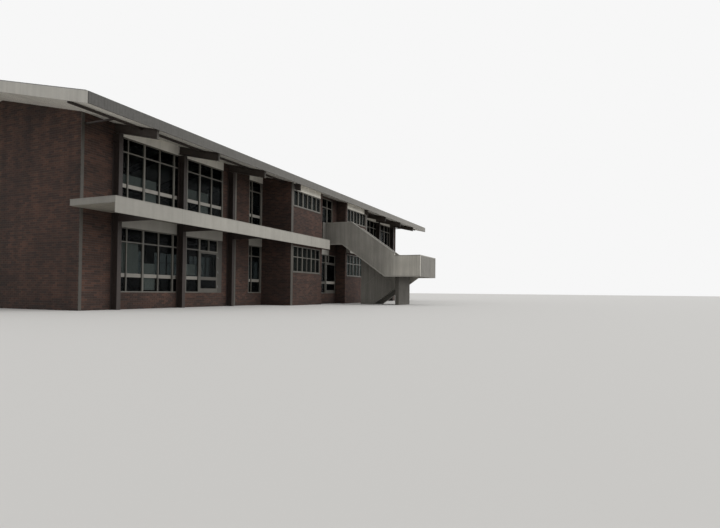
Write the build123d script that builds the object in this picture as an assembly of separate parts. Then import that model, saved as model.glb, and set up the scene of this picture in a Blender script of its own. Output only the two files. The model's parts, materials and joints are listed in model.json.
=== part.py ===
from build123d import *
import math
import os

# Two-storey school building with a low gable roof, one boarded outside stair and canopies.
# Millimetres, +Z up, ground at z = 0. Long side along X, front towards -Y.
# Until the very end, y = 0 is the outer face of the front wall and x = 0 the middle.

# Overall plan: a wing each side of the middle, which holds two blocks and a recess
wing_length = 10650
block_outer = 4950
recess_half = 1560
depth = 9000
wall_t = 230
# Levels
ground_floor = 660
storey = 3500
ground_slab_t = 150
upper_slab_t = 200
upper_floor = ground_floor + storey
# Frame line: columns and window module, measured from the outer corner of a wing
column_first = 1350
column_pitch = 3250
column_count = 3
column_depth = 360
flange_w = 171
flange_t = 16
web_t = 10
post_first = 2750
module = 1560
post_w = 80
mullion_w = 45
infill_start = 7440
narrow_window_w = 1150
# Windows, heights above their own floor
rail_low = 600
rail_high = 750
transom = 1980
glass_head = 2550
lower_panel_top = 3000
bar_h = 50
bar_depth = 60
frame_depth = 100
glass_t = 10
rail_t = 40
panel_proud = 20
panel_t = 80
# Projecting blocks and the recess between them
block_reach = 1880
block_beam_in = 450
recess_reach = 1180
block_low_sill = 1180
block_low_transom = 2000
block_low_head = 2600
block_high_sill = 1290
block_high_head = 2170
block_lights = 6
# Doors
door_head = 1940
leaf_t = 45
door_gap = 5
stile = 90
bottom_rail = 200
jamb = 80
door_post_w = 300
recess_door_left = 170
recess_post_x = 580
recess_window_left = -400
recess_window_right = 1000
recess_glazing_head = 2480
recess_panel_h = 300
recess_panel_t = 20
pivot_out = 12
barrel_r = 7
barrel_len = 50
flap_w = 40
flap_t = 3
hinge_seat = 0.3
hinge_rows = (250, 950, 1650)
pull_r = 12
pull_len = 300
pull_off = 55
pull_height = 1000
# Roof
eave_reach = 2430
verge_reach = 1550
fascia_top = 6900
fascia_h = 380
board_t = 40
roof_pitch = 12.8
deck_t = 318
lining_t = 18
ridge_cap_w = 400
ridge_cap_t = 12
ridge_seat = 0.5
beam_w = 170
beam_flange = 16
beam_web = 10
beam_drop = 336
beam_end_in = 240
purlin_y = -1420
purlin_w = 60
purlin_h = 80
bracket_w = 70
bracket_h = 55
# Canopies
canopy_reach = 2180
canopy_side_reach = 340
canopy_inner = 1120
canopy_top = 3900
canopy_fascia_h = 560
canopy_return_h = 220
canopy_board = 30
canopy_deck_t = 180
canopy_lining_t = 20
canopy_beam_w = 100
canopy_beam_h = 340
# Stair
stair_left = 30
flight_w = 1410
parapet_t = 120
parapet_h = 950
parapet_drop = 420
parapet_run_on = 160
inner_parapet_h = 750
half_parapet_h = 870
half_parapet_drop = 370
tread = 250
risers_each = 12
landing_front = -3050
half_landing_w = 1660
waist = 150
soffit_lead = 640
pier_w = 2000
pier_t = 230
# Rear wall
rear_sill = 900
rear_pier_w = 650
middle_bays = 3
# Corner strips
strip_w = 110
block_strip_w = 200
strip_t = 25

half_length = block_outer + wing_length
infill_end = wing_length - narrow_window_w
roof_half_length = half_length + verge_reach
canopy_end = half_length + canopy_side_reach
slope = math.tan(math.radians(roof_pitch))
lean = 1 / math.cos(math.radians(roof_pitch))
ridge_y = depth / 2
eave_y = -eave_reach
rear_eave_y = depth + eave_reach
riser = (upper_floor / 2) / risers_each
stair_pitch = riser / tread
half_floor = upper_floor / 2
half_front = landing_front - tread * (risers_each - 1)
half_end = half_front - half_landing_w
stair_inner = stair_left + parapet_t + flight_w
stair_right = stair_inner + parapet_t + flight_w + parapet_t
stair_reach = half_end - parapet_t
shift_y = -(stair_reach + rear_eave_y) / 2
column_x = [-half_length + column_first + column_pitch * i for i in range(column_count)]
block_beam_x = -block_outer + block_beam_in
middle_x = [block_beam_x * (1 - 2 * i / middle_bays) for i in range(middle_bays + 1)]
rear_x = column_x + [x for x in middle_x if x < 0]
panel_back = panel_t - panel_proud


def box(x0, x1, y0, y1, z0, z1):
    return Pos((x0 + x1) / 2, (y0 + y1) / 2, (z0 + z1) / 2) * Box(abs(x1 - x0), abs(y1 - y0), abs(z1 - z0))


def side_profile(points, x0, x1):
    """Outline given as (y, z), drawn out along X from x0 to x1."""
    face = make_face(Polyline(*[(x0, y, z) for y, z in points], close=True))
    return extrude(face, amount=x1 - x0, dir=(1, 0, 0))


def mirrored(shapes):
    """The shapes and their likeness on the far half of the building."""
    return list(shapes) + [mirror(s, about=Plane.YZ) for s in shapes]


def roof_z(y, below=0.0):
    """Height of the roof's upper face at y, less a thickness square to the slope."""
    run = min(y, depth - y) + eave_reach
    return fascia_top + run * slope - below * lean


def under_roof(y):
    return roof_z(y, deck_t + lining_t)


def raking(y0, y1, top, drop, x0, x1):
    """Solids following the roof line, from top to drop below it, one on each side of the ridge."""
    spans = [(y0, y1)]
    if y0 < ridge_y < y1:
        spans = [(y0, ridge_y - ridge_seat), (ridge_y + ridge_seat, y1)]
    pieces = []
    for a, b in spans:
        corners = [(a, roof_z(a, top)), (b, roof_z(b, top)), (b, roof_z(b, drop)), (a, roof_z(a, drop))]
        pieces.append(side_profile(corners, x0, x1))
    return pieces


def to_roof(y0, y1, z0, x0, x1):
    """Wall piece across the thickness y0 to y1, from z0 up to the lining."""
    return side_profile([(y0, z0), (y1, z0), (y1, under_roof(y1)), (y0, under_roof(y0))], x0, x1)


def bars(x0, x1, z0, z1, posts, rows, y0):
    """Window frame: a deep rim, then thinner posts and cross bars in front of the glass."""
    rim = box(x0, x1, y0, y0 + frame_depth, z0, z1)
    frame = rim - box(x0 + bar_h, x1 - bar_h, y0 - 1, y0 + frame_depth + 1, z0 + bar_h, z1 - bar_h)
    for x, width in posts:
        frame += box(x - width / 2, x + width / 2, y0, y0 + bar_depth, z0 + bar_h, z1 - bar_h)
    for z, height in rows:
        frame += box(x0 + bar_h, x1 - bar_h, y0, y0 + bar_depth, z - height / 2, z + height / 2)
    return frame


def pane(x0, x1, z0, z1, y0):
    """Sheet of glass right behind the bars, filling the rim."""
    return box(x0 + bar_h, x1 - bar_h, y0 + bar_depth, y0 + bar_depth + glass_t, z0, z1)


def floor_outline():
    """Plan inside the walls, blocks included."""
    hall = Rectangle(2 * (half_length - wall_t), depth - 2 * wall_t)
    plan = Pos(0, depth / 2) * hall
    inner = block_outer - wall_t
    side = recess_half + wall_t
    for sign in (-1, 1):
        room = Rectangle(inner - side, block_reach)
        plan += Pos(sign * (inner + side) / 2, (2 * wall_t - block_reach) / 2) * room
    lobby = Rectangle(2 * side, recess_reach)
    plan += Pos(0, (2 * wall_t - recess_reach) / 2) * lobby
    return plan


def floors():
    plan = floor_outline()
    low = Pos(0, 0, ground_floor - ground_slab_t) * extrude(plan, amount=ground_slab_t)
    high = Pos(0, 0, upper_floor - upper_slab_t) * extrude(plan, amount=upper_slab_t)
    return {"ground_floor_slab": [low], "upper_floor_slab": [high]}


def gable_wall(x0, x1):
    ys = (0, ridge_y, depth)
    points = [(0, 0), (depth, 0)] + [(y, under_roof(y)) for y in reversed(ys)]
    return side_profile(points, x0, x1)


def end_walls():
    return {"end_walls": mirrored([gable_wall(-half_length, -half_length + wall_t)])}


def wing(x):
    """Place along the near wing, from its outer corner."""
    return -half_length + x


def window_runs():
    """The two glazed stretches of a wing: start, end."""
    return [
        (wing(column_first + flange_w / 2), wing(infill_start)),
        (wing(infill_end), -block_outer),
    ]


def front_walls():
    """Brick piers full height, and the bands under, between and over the openings."""
    piers = [
        to_roof(0, wall_t, 0, -half_length + wall_t, wing(column_first + flange_w / 2)),
        to_roof(0, wall_t, 0, wing(infill_start), wing(infill_end)),
    ]
    bands = []
    for x0, x1 in window_runs():
        bands.append(box(x0, x1, 0, wall_t, 0, ground_floor))
        bands.append(box(x0, x1, 0, wall_t, ground_floor + lower_panel_top, upper_floor))
        bands.append(to_roof(panel_back, wall_t, upper_floor + glass_head, x0, x1))
    x0, x1 = -block_outer + wall_t, -recess_half - wall_t
    y0, y1 = -block_reach, -block_reach + wall_t
    bands.append(box(x0, x1, y0, y1, 0, ground_floor + block_low_sill))
    bands.append(box(x0, x1, y0, y1, ground_floor + block_low_head, upper_floor + block_high_sill))
    bands.append(to_roof(y0 + panel_back, y1, upper_floor + block_high_head, x0, x1))
    piers, bands = mirrored(piers), mirrored(bands)
    y0, y1 = -recess_reach, -recess_reach + wall_t
    x0, x1 = recess_window_left, recess_window_right
    piers.append(to_roof(y0, y1, 0, -recess_half, x0))
    piers.append(to_roof(y0, y1, upper_floor, x1, recess_half))
    bands.append(box(x0, recess_half, y0, y1, 0, ground_floor))
    bands.append(box(x0, recess_half, y0, y1, ground_floor + recess_glazing_head, upper_floor))
    bands.append(to_roof(y0, y1, upper_floor + glass_head, x0, x1))
    return {"front_wall_piers": piers, "front_wall_bands": bands}


def block_walls():
    front, inner_end = -block_reach, -recess_reach + wall_t
    sides = [
        to_roof(front, wall_t, 0, -block_outer, -block_outer + wall_t),
        to_roof(front, inner_end, 0, -recess_half - wall_t, -recess_half),
    ]
    return {"block_side_walls": mirrored(sides)}


def columns():
    def h_post(x, y0, sign, z1):
        y_far = y0 + sign * column_depth
        post = box(x - flange_w / 2, x + flange_w / 2, y0, y0 + sign * flange_t, 0, z1)
        post += box(x - flange_w / 2, x + flange_w / 2, y_far, y_far - sign * flange_t, 0, z1)
        return post + box(x - web_t / 2, x + web_t / 2, y0, y_far, 0, z1)

    z1 = roof_z(-column_depth, deck_t + lining_t + beam_drop)
    front = [h_post(x, 0, -1, z1) for x in column_x]
    rear = [h_post(x, depth, 1, z1) for x in rear_x]
    return mirrored(front + rear)


def corner_strips():
    top = under_roof(-strip_t)
    low = [
        box(-half_length, -half_length + strip_w, -strip_t, 0, 0, top),
        box(-half_length, -half_length + strip_w, depth, depth + strip_t, 0, top),
    ]
    y0 = -block_reach
    low.append(box(-block_outer, -block_outer + block_strip_w, y0 - strip_t, y0, 0, under_roof(y0 - strip_t)))
    return mirrored(low)


def post_places(x0, x1):
    """Thick posts at the module and thin ones midway, inside a run."""
    found = []
    for i in range(-1, 12):
        x = wing(post_first) + module * i / 2
        width = mullion_w if i % 2 else post_w
        if x0 + bar_h < x - width / 2 and x + width / 2 < x1 - bar_h:
            found.append((x, width))
    return found


def door_bay():
    """The doorway: start on a thick post's face, end at the wide jamb beside the brick."""
    return wing(post_first) + 2 * module + post_w / 2, wing(infill_start) - door_post_w


def front_windows():
    door_x0, door_x1 = door_bay()
    frames, glass, rails = [], [], []
    for level, base in enumerate((ground_floor, upper_floor)):
        for x0, x1 in window_runs():
            stop = door_x0 if level == 0 and x0 < door_x0 < x1 else x1
            z1 = base + glass_head
            frames.append(bars(x0, stop, base, z1, post_places(x0, stop), [(base + transom, bar_h)], 0))
            glass.append(pane(x0, stop, base + bar_h, base + rail_low, 0))
            glass.append(pane(x0, stop, base + rail_high, z1 - bar_h, 0))
            a, b = x0 + bar_h, stop - bar_h
            rails.append(box(a, b, bar_depth, bar_depth + rail_t, base + rail_low, base + rail_high))
    x0, x1 = -block_outer + wall_t, -recess_half - wall_t
    y0 = -block_reach
    step = (x1 - x0) / block_lights
    posts = [(x0 + step * i, mullion_w if i % 2 else post_w) for i in range(1, block_lights)]
    low = (ground_floor + block_low_sill, ground_floor + block_low_head)
    high = (upper_floor + block_high_sill, upper_floor + block_high_head)
    frames.append(bars(x0, x1, low[0], low[1], posts, [(ground_floor + block_low_transom, bar_h)], y0))
    frames.append(bars(x0, x1, high[0], high[1], posts, [], y0))
    glass += [pane(x0, x1, z0 + bar_h, z1 - bar_h, y0) for z0, z1 in (low, high)]
    return mirrored(frames), mirrored(glass), mirrored(rails)


def head_panels():
    """Pale boards over the glass, the upper ones up to the lining, set back behind the second column."""
    pieces = []
    column = column_x[1]
    gap_start = wing(post_first) + module
    low0, low1, high0 = ground_floor + glass_head, ground_floor + lower_panel_top, upper_floor + glass_head
    for x0, x1 in window_runs():
        spans = [(x0, x1, -panel_proud)]
        if x0 < column < x1:
            gap_end = column + flange_w / 2
            spans = [(x0, gap_start, -panel_proud), (gap_start, gap_end, 0), (gap_end, x1, -panel_proud)]
        for a, b, front in spans:
            pieces.append(box(a, b, front, panel_back, low0, low1))
            pieces.append(to_roof(front, panel_back, high0, a, b))
    x0, x1 = -block_outer + wall_t, -recess_half - wall_t
    y1 = -block_reach + panel_back
    pieces.append(to_roof(y1 - panel_t, y1, upper_floor + block_high_head, x0, x1))
    x0, x1, y1 = recess_window_left, recess_post_x, -recess_reach
    z0 = ground_floor + recess_glazing_head
    return mirrored(pieces) + [box(x0, x1, y1 - recess_panel_t, y1, z0, z0 + recess_panel_h)]


def rear_wall():
    """Brick bands with piers between the windows of each storey."""
    y0, y1 = depth - wall_t, depth
    x1 = half_length - wall_t
    low0, low1 = ground_floor + rear_sill, ground_floor + glass_head
    high0, high1 = upper_floor + rear_sill, upper_floor + glass_head
    bands = [box(-x1, x1, y0, y1, 0, low0), box(-x1, x1, y0, y1, low1, high0)]
    bands.append(to_roof(y0, y1, high1, -x1, x1))
    lines = column_x + middle_x + [-x for x in reversed(column_x)]
    runs = [(a + rear_pier_w / 2, b - rear_pier_w / 2) for a, b in zip(lines, lines[1:])]
    edges = [-x1] + [x for run in runs for x in run] + [x1]
    piers, frames, glass = [], [], []
    for z0, z1 in ((low0, low1), (high0, high1)):
        piers += [box(a, b, y0, y1, z0, z1) for a, b in zip(edges[::2], edges[1::2])]
        for a, b in runs:
            step = (b - a) / 4
            posts = [(a + step, mullion_w), (a + 2 * step, post_w), (b - step, mullion_w)]
            window = bars(-b, -a, z0, z1, [(-x, w) for x, w in posts], [(z0 + (z1 - z0) * 0.6, bar_h)], 0)
            frames.append(Pos(0, depth, 0) * Rot(0, 0, 180) * window)
            sheet = pane(-b, -a, z0 + bar_h, z1 - bar_h, 0)
            glass.append(Pos(0, depth, 0) * Rot(0, 0, 180) * sheet)
    return {
        "rear_wall_bands": bands,
        "rear_wall_piers": piers,
        "rear_window_frames": frames,
        "rear_window_glass": glass,
    }


def leaf(x0, x1, z0, z1, y0):
    """Glazed door leaf, its middle rail in line with the window rails, and its two panes."""
    y1, middle = y0 + leaf_t, y0 + leaf_t / 2
    frame = box(x0, x1, y0, y1, z0, z1)
    panes = []
    for a, b in ((z0 + bottom_rail, ground_floor + rail_low), (ground_floor + rail_high, z1 - stile)):
        frame -= box(x0 + stile, x1 - stile, y0 - 1, y1 + 1, a, b)
        panes.append(box(x0 + stile, x1 - stile, middle - glass_t / 2, middle + glass_t / 2, a, b))
    return frame, panes


def pull(x, y0, z):
    """Round pull bar on two stubs, in front of the leaf."""
    bar = Pos(x, y0 - pull_off, z) * Cylinder(pull_r, pull_len)
    for dz in (-pull_len / 3, pull_len / 3):
        bar += Pos(x, y0 - pull_off / 2, z + dz) * Rot(90, 0, 0) * Cylinder(pull_r / 2, pull_off)
    return bar


def hinge_halves(x, y0, base, side, lift):
    """Half hinges round the pivot line at x: a barrel and the flap on the frame or on the leaf."""
    pieces = []
    for row in hinge_rows:
        z0 = base + row + lift
        barrel = Pos(x, y0 - pivot_out, z0 + barrel_len / 2) * Cylinder(barrel_r, barrel_len)
        near = x + side * door_gap / 2
        flap = box(near, near + side * flap_w, y0 - pivot_out - flap_t, y0, z0, z0 + barrel_len)
        pieces.append(barrel + flap)
    return pieces


def hung_door(x0, x1, y0):
    """Leaf hung at its right edge: leaf with pull, panes, its hinge halves and the frame's halves."""
    base, top = ground_floor, ground_floor + door_head
    frame, panes = leaf(x0 + door_gap, x1 - door_gap, base + door_gap, top - door_gap, y0)
    frame += pull(x0 + door_gap + stile / 2, y0, base + pull_height)
    pivot = x1 - door_gap / 2
    moving = hinge_halves(pivot, y0, base, -1, barrel_len + hinge_seat)
    return frame, panes, moving, hinge_halves(pivot, y0, base, 1, 0)


def doors(frames, glass):
    """The two hung doors with jambs and top lights, the far wing's door and the recess windows."""
    base, head = ground_floor, ground_floor + door_head
    x0, x1 = door_bay()
    post_end = x1 + door_post_w
    z1 = base + glass_head
    jambs = mirrored([box(x1, post_end, 0, frame_depth, base, z1)])
    heads = mirrored([bars(x0, x1, head, z1, [((x0 + x1) / 2, mullion_w)], [], 0)])
    glass += mirrored([pane(x0, x1, head + bar_h, z1 - bar_h, 0)])
    front, front_panes, front_moving, front_fixed = hung_door(x0, x1, 0)
    far, far_panes = leaf(x0, x1, base, head, 0)
    y0 = -recess_reach
    a, b = recess_door_left, recess_half
    low_top = base + recess_glazing_head
    jambs += [box(x, x + jamb, y0, y0 + frame_depth, base, low_top) for x in (a, b - jamb)]
    heads.append(bars(a + jamb, b - jamb, head, low_top, [(recess_post_x, post_w)], [], y0))
    glass.append(pane(a + jamb, b - jamb, head + bar_h, low_top - bar_h, y0))
    rail = (rail_low + rail_high) / 2
    rows = [(base + rail, rail_high - rail_low), (head + bar_h / 2, bar_h)]
    frames.append(bars(recess_window_left, a, base, low_top, [], rows, y0))
    glass.append(pane(recess_window_left, a, base + bar_h, low_top - bar_h, y0))
    hung = hung_door(jamb - b, -a - jamb, y0)
    recess, recess_panes, recess_moving, recess_fixed = [
        [mirror(s, about=Plane.YZ) for s in (part if isinstance(part, list) else [part])] for part in hung
    ]
    high = upper_floor + glass_head
    rows = [(upper_floor + transom, bar_h), (upper_floor + rail, rail_high - rail_low)]
    a, b = recess_window_left, recess_window_right
    frames.append(bars(a, b, upper_floor, high, [((a + b) / 2, post_w)], rows, y0))
    glass.append(pane(a, b, upper_floor + bar_h, high - bar_h, y0))
    glass += [mirror(p, about=Plane.YZ) for p in far_panes]
    return {
        "door_jambs": jambs,
        "door_top_lights": heads,
        "far_wing_door": [mirror(far, about=Plane.YZ)],
        "jamb_hinges": front_fixed + recess_fixed,
        "front_door_leaf": [front],
        "front_door_glass": front_panes,
        "front_door_hinges": front_moving,
        "recess_door_leaf": recess,
        "recess_door_glass": recess_panes,
        "recess_door_hinges": recess_moving,
    }


def canopy_plan(x0, x1, z0, z1):
    """Canopy layer between two heights, cut round blocks, columns and corner strips."""
    side = -1 if x0 + x1 < 0 else 1
    layer = box(x0, x1, -canopy_reach + canopy_board, 0, z0, z1)
    layer -= box(side * block_outer, 0, -block_reach, 1, z0, z1)
    for x in column_x:
        layer -= box(-side * x - flange_w / 2, -side * x + flange_w / 2, -column_depth, 1, z0, z1)
    layer -= box(side * half_length, side * (half_length - strip_w), -strip_t, 1, z0, z1)
    corner = -block_reach - strip_t
    return layer - box(side * block_outer, side * (block_outer - block_strip_w), corner, 1, z0, z1)


def canopies():
    low = canopy_top - canopy_fascia_h
    deck_top = canopy_top - canopy_board
    soffit = deck_top - canopy_deck_t
    decks, linings, fascias = [], [], []
    for outer, inner in ((-canopy_end, -canopy_inner), (canopy_end, stair_inner + parapet_t)):
        step = canopy_board if outer < 0 else -canopy_board
        x0, x1 = outer + step, inner - step
        decks.append(canopy_plan(x0, x1, soffit, deck_top))
        linings.append(canopy_plan(x0, x1, soffit - canopy_lining_t, soffit))
        board = box(outer, inner, -canopy_reach, -canopy_reach + canopy_board, low, canopy_top)
        board += box(outer, x0, -canopy_reach, canopy_board, canopy_top - canopy_return_h, canopy_top)
        wall_face = math.copysign(half_length, outer)
        board += box(outer, wall_face, 0, canopy_board, canopy_top - canopy_return_h, canopy_top)
        board += box(inner, x1, -canopy_reach, -block_reach, low, canopy_top)
        fascias.append(board)
    beams = []
    for x in column_x:
        a, b = x - canopy_beam_w / 2, x + canopy_beam_w / 2
        y0, z1 = -canopy_reach + canopy_board, soffit - canopy_lining_t
        beams.append(box(a, b, y0, -column_depth, z1 - canopy_beam_h, z1))
    return {
        "canopy_decks": decks,
        "canopy_soffits": linings,
        "canopy_fascias": fascias,
        "canopy_beams": mirrored(beams),
    }


def roof():
    x1 = roof_half_length - board_t
    front0, rear1 = eave_y + board_t, rear_eave_y - board_t
    low = fascia_top - fascia_h
    boards = []
    for y0, inward in ((eave_y, 1), (rear_eave_y, -1)):
        y1 = y0 + inward * board_t
        ends = sorted((y0, y1))
        points = [(ends[0], low), (ends[1], low), (ends[1], roof_z(ends[1])), (ends[0], roof_z(ends[0]))]
        boards.append(side_profile(points, -roof_half_length, roof_half_length))
    return {
        "roof_slopes": raking(front0, rear1, 0, deck_t, -x1, x1),
        "soffit_lining": raking(front0, rear1, deck_t, deck_t + lining_t, -x1, x1),
        "ridge_cap": [side_profile(cap_outline(), -x1, x1)],
        "eave_fascias": boards,
        "verge_boards": mirrored(raking(front0, rear1, 0, fascia_h, -roof_half_length, -x1)),
    }


def cap_outline():
    """Folded ridge cap: up one slope and down the other, and back underneath."""
    ys = (ridge_y - ridge_cap_w / 2, ridge_y, ridge_y + ridge_cap_w / 2)
    return [(y, roof_z(y)) for y in ys] + [(y, roof_z(y, -ridge_cap_t)) for y in reversed(ys)]


def raking_beams(x, y0, y1):
    """I-shaped beams under the lining, following the roof."""
    top = deck_t + lining_t
    drop = top + beam_drop
    upper = raking(y0, y1, top, top + beam_flange, x - beam_w / 2, x + beam_w / 2)
    lower = raking(y0, y1, drop - beam_flange, drop, x - beam_w / 2, x + beam_w / 2)
    web = raking(y0, y1, top, drop, x - beam_web / 2, x + beam_web / 2)
    return [a + b + c for a, b, c in zip(upper, lower, web)]


def roof_frame():
    front0, rear1 = eave_y + beam_end_in, rear_eave_y - beam_end_in
    beams, purlins = [], []
    for x in column_x:
        beams += raking_beams(x, front0, 0) + raking_beams(x, wall_t, depth - wall_t)
    beams += raking_beams(block_beam_x, front0, -block_reach - panel_proud)
    beams += raking_beams(block_beam_x, wall_t - block_reach, depth - wall_t)
    beams += raking_beams(rear_x[-1], wall_t - recess_reach, depth - wall_t)
    for x in rear_x:
        beams += raking_beams(x, depth, rear1)
    x0 = -half_length + strip_w
    for y, face, out, lines, end in (
        (purlin_y, 0, -1, column_x, -block_outer),
        (depth - purlin_y, depth, 1, rear_x, 0),
    ):
        stops = [-roof_half_length + board_t]
        for x in lines:
            stops += [x - beam_web / 2, x + beam_web / 2]
        stops.append(end)
        far, inner = y + out * purlin_w / 2, y - out * purlin_w / 2
        top = roof_z(far, deck_t + lining_t + beam_flange)
        bottom = top - purlin_h
        for a, b in zip(stops[::2], stops[1::2]):
            purlins.append(box(a, b, y - purlin_w / 2, y + purlin_w / 2, bottom, top))
        purlins.append(box(x0, x0 + bracket_w, face, inner, bottom, bottom + bracket_h))
    return {"roof_beams": mirrored(beams), "eaves_purlins": mirrored(purlins)}


def flight(start_y, start_z, step_y, x0, x1, floor_z=0.0):
    """Stepped flight going down from start, with a sloping underside."""
    points = [(start_y, start_z)]
    y, z = start_y, start_z
    for i in range(risers_each):
        z -= riser
        points.append((y, z))
        if i < risers_each - 1:
            y += step_y
            points.append((y, z))
    drop = waist * math.hypot(1, stair_pitch)
    sign = 1 if step_y > 0 else -1
    if z - drop < floor_z:
        run = (start_z - riser - drop - floor_z) / stair_pitch
        points += [(start_y + sign * run, floor_z), (start_y, start_z - riser - drop)]
    else:
        points += [(y, z - drop), (start_y, start_z - riser - drop)]
    return side_profile(points, x0, x1)


def stair():
    left, inner = stair_left + parapet_t, stair_inner
    far = inner + parapet_t
    rail_top = upper_floor + parapet_h
    half_top = half_floor + half_parapet_h
    low = upper_floor - parapet_drop
    half_low = half_floor - half_parapet_drop
    wall_face = -recess_reach
    lead = landing_front + soffit_lead
    run = half_front - landing_front
    outer_end = half_front - parapet_run_on
    inner_top = upper_floor + inner_parapet_h
    outer = [
        (wall_face, low),
        (lead, low),
        (lead - (low - half_low) / stair_pitch, half_low),
        (stair_reach, half_low),
        (stair_reach, half_top),
        (outer_end, half_top),
        (outer_end, rail_top + (run - parapet_run_on) * stair_pitch),
        (landing_front, rail_top),
        (wall_face, rail_top),
    ]
    foot_top = half_top + run * stair_pitch
    far_lead = half_front - soffit_lead
    far_side = [
        (half_end, half_low),
        (far_lead, half_low),
        (far_lead + half_low / stair_pitch, 0),
        (landing_front, 0),
        (landing_front, foot_top),
        (half_front, half_top),
        (half_end, half_top),
    ]
    notch = (lead + half_front - (low - half_top) / stair_pitch) / 2
    middle = [
        (-block_reach, low),
        (lead, low),
        (notch, low - (lead - notch) * stair_pitch),
        (landing_front, foot_top),
        (landing_front, 0),
        (far_lead + half_low / stair_pitch, 0),
        (half_front, half_low - soffit_lead * stair_pitch),
        (half_front, inner_top + run * stair_pitch),
        (landing_front, inner_top),
        (-block_reach, inner_top),
    ]
    pier_mid = (left + stair_right - parapet_t) / 2
    landing_base = half_floor - upper_slab_t
    right = stair_right - parapet_t
    landings = [
        box(left, inner, landing_front, wall_face, upper_floor - upper_slab_t, upper_floor),
        box(left, right, half_end, half_front, half_floor - upper_slab_t, half_floor),
    ]
    pier = box(pier_mid - pier_w / 2, pier_mid + pier_w / 2, half_front - pier_t, half_front, 0, landing_base)
    return {
        "stair_landings": landings,
        "upper_flight": [flight(landing_front, upper_floor, -tread, left, inner)],
        "lower_flight": [flight(half_front, half_floor, tread, far, right)],
        "outer_parapet": [side_profile(outer, stair_left, left)],
        "far_parapet": [side_profile(far_side, stair_right - parapet_t, stair_right)],
        "inner_parapet": [side_profile(middle, inner, far)],
        "front_parapet": [box(left, stair_right, stair_reach, half_end, half_low, half_top)],
        "stair_pier": [pier],
    }


def build():
    frames, glass, rails = front_windows()
    parts = {}
    for group in (floors(), end_walls(), front_walls(), block_walls(), rear_wall(), doors(frames, glass)):
        parts.update(group)
    parts["columns"] = columns()
    parts["corner_strips"] = corner_strips()
    parts["front_window_frames"] = frames
    parts["front_window_glass"] = glass
    parts["window_rails"] = rails
    parts["head_panels"] = head_panels()
    for group in (canopies(), roof(), roof_frame(), stair()):
        parts.update(group)
    return parts


os.makedirs("parts", exist_ok=True)
for name, shapes in build().items():
    solids = [Pos(0, shift_y, 0) * s for shape in shapes for s in shape.solids()]
    export_step(solids[0] if len(solids) == 1 else Compound(children=solids), f"parts/{name}.step")
    print(name, len(solids))
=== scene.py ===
import bpy
import bmesh
import json
import math
import random
from mathutils import Vector, Matrix


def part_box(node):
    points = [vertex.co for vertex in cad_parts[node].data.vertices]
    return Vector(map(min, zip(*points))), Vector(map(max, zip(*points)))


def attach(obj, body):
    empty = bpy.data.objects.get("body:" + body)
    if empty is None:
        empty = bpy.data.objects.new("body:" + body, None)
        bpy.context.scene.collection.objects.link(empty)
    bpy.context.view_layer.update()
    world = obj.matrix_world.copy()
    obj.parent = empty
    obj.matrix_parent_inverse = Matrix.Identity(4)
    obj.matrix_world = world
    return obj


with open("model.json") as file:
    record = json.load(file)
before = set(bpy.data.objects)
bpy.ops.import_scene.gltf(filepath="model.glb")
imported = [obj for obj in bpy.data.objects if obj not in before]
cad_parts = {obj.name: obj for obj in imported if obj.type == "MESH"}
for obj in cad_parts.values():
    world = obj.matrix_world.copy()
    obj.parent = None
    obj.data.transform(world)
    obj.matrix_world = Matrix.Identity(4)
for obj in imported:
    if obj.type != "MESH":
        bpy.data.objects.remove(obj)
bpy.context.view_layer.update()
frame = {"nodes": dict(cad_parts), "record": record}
nodes = frame["nodes"]
print("frame loaded, nodes:", len(nodes))

random.seed(12)
roofPitch = math.radians(12.8)
building = {"front": -1.925, "depth": 9.0, "groundFloor": 0.66, "upperFloor": 4.16,
            "eaveTop": 6.9, "eaveReach": 2.43, "vergeEnd": 17.15, "roofThick": 0.336,
            "canopyEnd": 15.94, "canopyFront": -4.105, "blockStep": 1.5, "wideWindow": 1}
front = building["front"]
back = front + building["depth"]
sunk = 0.002  # how far a dressing piece goes into what it sits on


# small helpers for the shader nodes
def add(tree, kind, **values):
    node = tree.nodes.new(kind)
    for key, value in values.items():
        setattr(node, key, value)
    return node


def calc(tree, operation, first, second=None, third=None):
    node = add(tree, "ShaderNodeMath", operation=operation)
    for index, value in enumerate((first, second, third)):
        if value is None:
            continue
        if isinstance(value, (int, float)):
            node.inputs[index].default_value = value
        else:
            tree.links.new(value, node.inputs[index])
    return node.outputs[0]


def blendColour(tree, factor, first, second, how="MIX"):
    node = add(tree, "ShaderNodeMix", data_type="RGBA", blend_type=how)
    for index, value in ((0, factor), (6, first), (7, second)):
        if isinstance(value, (int, float)):
            node.inputs[index].default_value = value if index == 0 else (value, value, value, 1)
        elif isinstance(value, tuple):
            node.inputs[index].default_value = (*value, 1)
        else:
            tree.links.new(value, node.inputs[index])
    return node.outputs[2]


def linear(colour):  # screen values 0-255 to the shader's own
    return tuple(((c / 255 + 0.055) / 1.055) ** 2.4 if c > 10 else c / 255 / 12.92 for c in colour)


def wallSpace(tree):  # where a point lies: in space, along its wall, and flat on the wall
    space = add(tree, "ShaderNodeTexCoord")
    place = add(tree, "ShaderNodeSeparateXYZ")
    facing = add(tree, "ShaderNodeSeparateXYZ")
    tree.links.new(space.outputs["Object"], place.inputs[0])
    tree.links.new(space.outputs["Normal"], facing.inputs[0])
    sideways = calc(tree, "GREATER_THAN", calc(tree, "ABSOLUTE", facing.outputs[0]), 0.5)
    along = add(tree, "ShaderNodeMix", data_type="FLOAT")
    tree.links.new(sideways, along.inputs[0])
    tree.links.new(place.outputs[0], along.inputs[2])
    tree.links.new(place.outputs[1], along.inputs[3])
    flat = add(tree, "ShaderNodeCombineXYZ")
    tree.links.new(along.outputs[0], flat.inputs[0])
    tree.links.new(place.outputs[2], flat.inputs[1])
    return {"object": space.outputs["Object"], "place": place, "along": along.outputs[0],
            "flat": flat.outputs[0]}


noiseRange = (0.3, 0.7)  # where nearly all of the noise lies


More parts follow.
